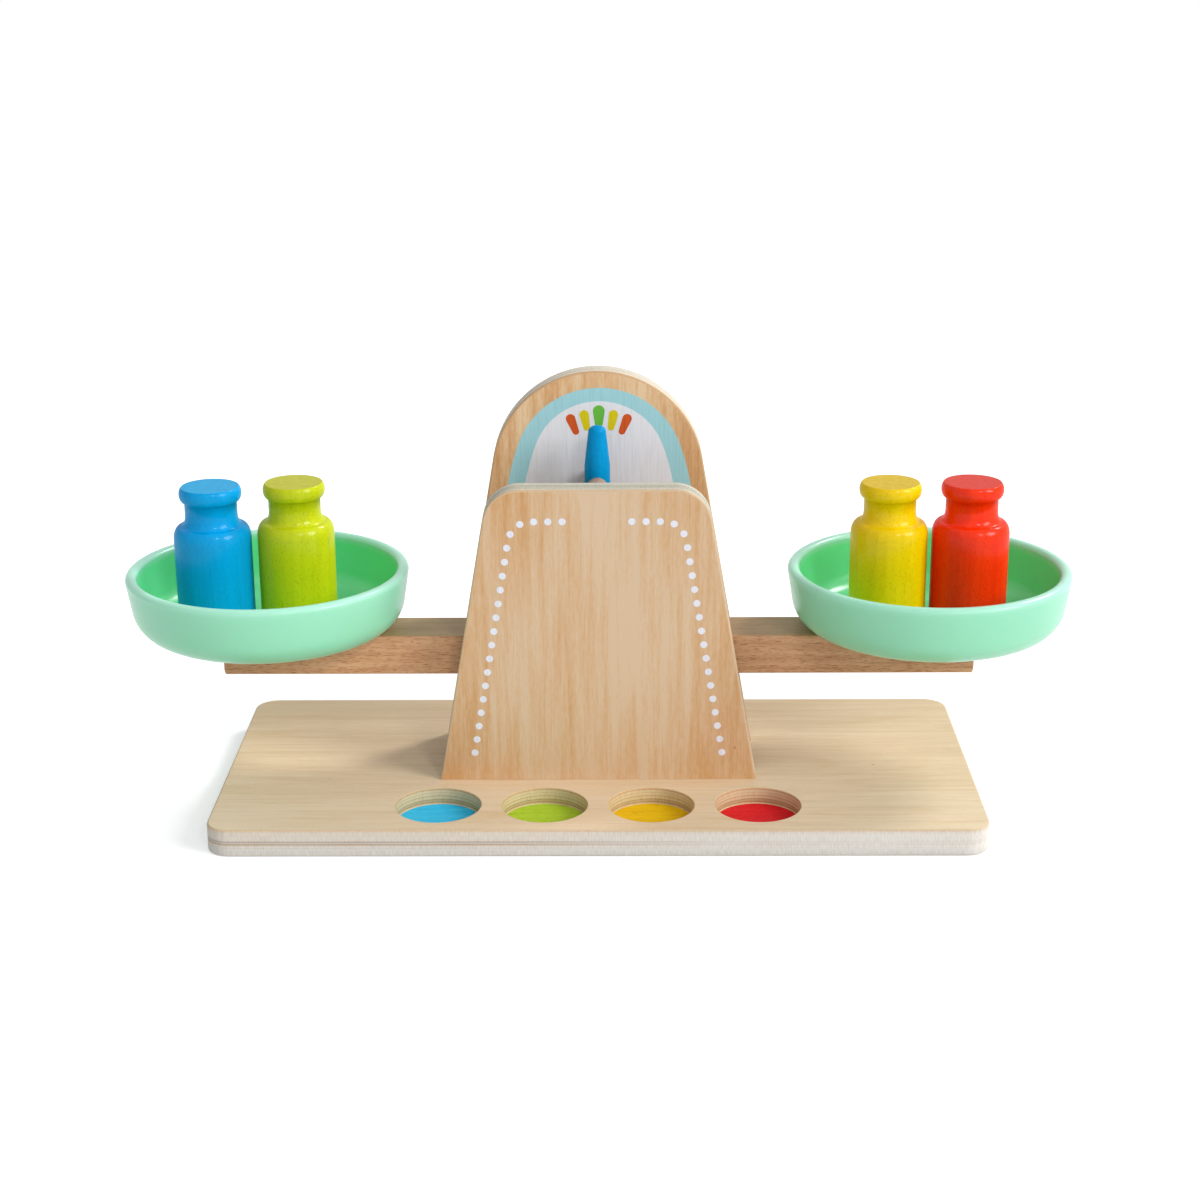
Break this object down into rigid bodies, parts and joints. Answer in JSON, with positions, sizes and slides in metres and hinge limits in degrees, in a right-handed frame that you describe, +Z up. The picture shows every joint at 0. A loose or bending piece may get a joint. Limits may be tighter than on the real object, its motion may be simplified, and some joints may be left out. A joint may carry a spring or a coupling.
{
  "type": "toy balance scale",
  "caption": "Wooden toy balance scale: beam with lift-off plastic bowls swings between upright panels on a board with round sockets for turned coloured weights.",
  "frame": {"origin": "middle of the board's underside", "axes": "+X along the board and the beam, -Y towards the front with the sockets, +Z up"},
  "size_m": [0.402, 0.149, 0.1799],
  "materials": {
    "base_plywood": "sanded plywood, clear matt lacquer",
    "front_plywood": "sanded plywood, clear matt lacquer",
    "rear_plywood": "sanded plywood, clear matt lacquer",
    "dowel_beech": "turned beech, bare",
    "zinc_steel": "zinc-plated",
    "beam_beech": "planed beech, clear matt lacquer",
    "mint_plastic": "moulded, soft satin",
    "blue_stain": "turned beech, blue stain under clear lacquer",
    "green_stain": "turned beech, green stain under clear lacquer",
    "yellow_stain": "turned beech, yellow stain under clear lacquer",
    "red_stain": "turned beech, red stain under clear lacquer",
    "disc_blue_paint": "thin wood disc, blue stain",
    "disc_green_paint": "thin wood disc, green stain",
    "disc_yellow_paint": "thin wood disc, yellow stain",
    "disc_red_paint": "thin wood disc, red stain"
  },
  "bodies": {
    "stand": {"base_board": "base_plywood", "front_panel": "front_plywood", "rear_panel": "rear_plywood", "panel_dowels": "dowel_beech", "panel_screws": "zinc_steel", "axle_pin": "zinc_steel", "front_spacer": "dowel_beech", "rear_spacer": "dowel_beech", "disc_blue": "disc_blue_paint", "disc_green": "disc_green_paint", "disc_yellow": "disc_yellow_paint", "disc_red": "disc_red_paint"},
    "swing": {"pointer": "blue_stain", "beam": "beam_beech"},
    "left_bowl": {"left_bowl": "mint_plastic"},
    "right_bowl": {"right_bowl": "mint_plastic"},
    "weight_blue": {"weight_blue": "blue_stain"},
    "weight_green": {"weight_green": "green_stain"},
    "weight_yellow": {"weight_yellow": "yellow_stain"},
    "weight_red": {"weight_red": "red_stain"}
  },
  "joints": [
    {"name": "beam_swing", "type": "hinge", "parent": "stand", "child": "swing", "pos_m": [0, 0.0051, 0.1346], "axis": [0, 1, 0], "range_deg": [-16.5, 16.5]},
    {"name": "left_bowl_lift", "type": "slide", "parent": "swing", "child": "left_bowl", "axis": [0, 0, 1], "range_m": [0, 0.05]},
    {"name": "right_bowl_lift", "type": "slide", "parent": "swing", "child": "right_bowl", "axis": [0, 0, 1], "range_m": [0, 0.05]},
    {"name": "weight_blue_lift", "type": "slide", "parent": "left_bowl", "child": "weight_blue", "axis": [0, 0, 1], "range_m": [0, 0.06]},
    {"name": "weight_green_lift", "type": "slide", "parent": "left_bowl", "child": "weight_green", "axis": [0, 0, 1], "range_m": [0, 0.06]},
    {"name": "weight_yellow_lift", "type": "slide", "parent": "right_bowl", "child": "weight_yellow", "axis": [0, 0, 1], "range_m": [0, 0.06]},
    {"name": "weight_red_lift", "type": "slide", "parent": "right_bowl", "child": "weight_red", "axis": [0, 0, 1], "range_m": [0, 0.06]}
  ]
}
